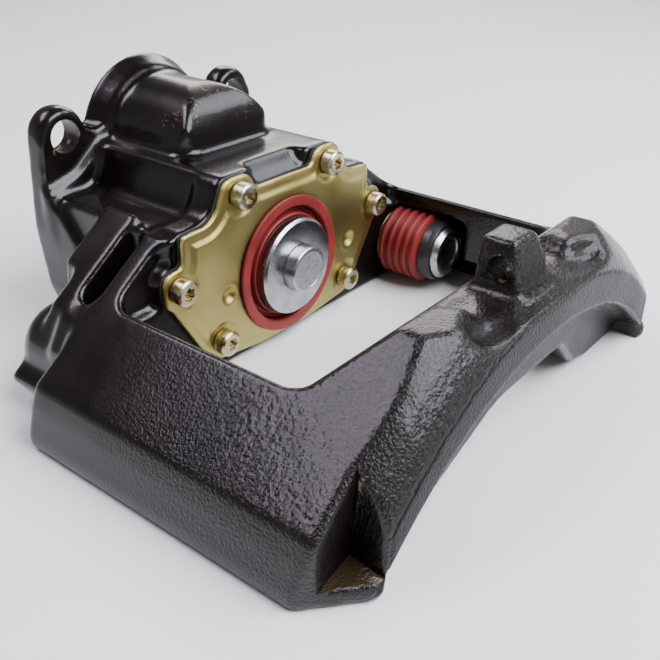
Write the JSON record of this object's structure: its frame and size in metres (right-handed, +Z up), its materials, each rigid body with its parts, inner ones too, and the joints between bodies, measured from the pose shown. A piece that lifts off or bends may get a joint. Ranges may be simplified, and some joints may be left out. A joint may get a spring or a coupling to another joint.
{
  "type": "brake caliper",
  "caption": "Sliding air disc brake caliper: a cast bridge over the disc, with a lever-driven tappet behind a bolted cover and guide sleeves in bellows.",
  "frame": {"origin": "centre of the bounding box's bottom face", "axes": "+Z up from the feet of the arms, +X across the two arms, +Y from the brake chamber's face towards the outboard beam"},
  "size_m": [0.3, 0.258, 0.138],
  "materials": {
    "black_paint": "thick glossy black paint over a rough sand casting",
    "gold_plating": "yellow zinc plating on pressed sheet steel",
    "gasket": "thin black sealing sheet",
    "zinc_plating": "zinc plated, slightly yellow",
    "red_silicone": "brick red silicone rubber",
    "machined_steel": "bright turned and ground steel",
    "turned_steel": "turned grey steel",
    "plain_steel": "plain forged or turned steel, lightly oiled",
    "bearing_bronze": "bronze bearing metal",
    "dark_steel": "dark phosphated steel ring",
    "black_rubber": "black rubber plug"
  },
  "bodies": {
    "root": {"caliper_body": "black_paint", "cover_plate": "gold_plating", "cover_gasket": "gasket", "cover_screw_top_left": "zinc_plating", "cover_screw_top_right": "zinc_plating", "cover_screw_side_left": "zinc_plating", "cover_screw_side_right": "zinc_plating", "cover_screw_bottom_left": "zinc_plating", "cover_screw_bottom_right": "zinc_plating", "boot_ring": "red_silicone", "tappet_boot": "red_silicone", "return_spring": "plain_steel", "guide_bellows_left": "red_silicone", "guide_bellows_right": "red_silicone", "guide_bush_left": "bearing_bronze", "guide_bush_right": "bearing_bronze", "guide_cap_left": "zinc_plating", "guide_cap_right": "zinc_plating", "bearing_shell_left": "bearing_bronze", "bearing_shell_right": "bearing_bronze", "adjuster_cap": "black_rubber"},
    "lever": {"operating_lever": "plain_steel", "eccentric_roller": "machined_steel"},
    "crosshead": {"thrust_bridge": "plain_steel", "spring_seat": "plain_steel"},
    "spindle": {"threaded_spindle": "plain_steel", "spindle_gear": "plain_steel"},
    "tappet": {"tappet": "machined_steel", "tappet_plug": "turned_steel"},
    "adjuster": {"adjuster_shaft": "plain_steel"},
    "guide_left": {"guide_sleeve_left": "machined_steel", "sleeve_collar_left": "dark_steel"},
    "guide_right": {"guide_sleeve_right": "machined_steel", "sleeve_collar_right": "dark_steel"}
  },
  "joints": [
    {"name": "lever_swing", "type": "hinge", "parent": "root", "child": "lever", "pos_m": [0, -0.081, 0.044], "axis": [-1, 0, 0], "range_deg": [0, 25]},
    {"name": "crosshead_stroke", "type": "slide", "parent": "root", "child": "crosshead", "axis": [0, 1, 0], "range_m": [0, 0.0024], "deforming": ["return_spring"]},
    {"name": "spindle_turn", "type": "hinge", "parent": "crosshead", "child": "spindle", "pos_m": [0, -0.059, 0.044], "axis": [0, 1, 0], "range_deg": [0, 2520]},
    {"name": "tappet_adjust", "type": "slide", "parent": "crosshead", "child": "tappet", "axis": [0, 1, 0], "range_m": [0, 0.028], "deforming": ["tappet_boot"]},
    {"name": "adjuster_turn", "type": "hinge", "parent": "root", "child": "adjuster", "pos_m": [-0.01587, -0.079, 0.02216], "axis": [0, 1, 0], "range_deg": [-5045, 0]},
    {"name": "sleeve_slide_left", "type": "slide", "parent": "root", "child": "guide_left", "axis": [0, 1, 0], "range_m": [-0.018, 0.008], "deforming": ["guide_bellows_left"]},
    {"name": "sleeve_slide_right", "type": "slide", "parent": "root", "child": "guide_right", "axis": [0, 1, 0], "range_m": [-0.018, 0.008], "deforming": ["guide_bellows_right"]}
  ],
  "couplings": [
    {"joint": "crosshead_stroke", "follows": "lever_swing", "m_per_rad": 0.0055},
    {"joint": "tappet_adjust", "follows": "spindle_turn", "m_per_rad": 0.0006366},
    {"joint": "adjuster_turn", "follows": "spindle_turn", "ratio": -2}
  ]
}
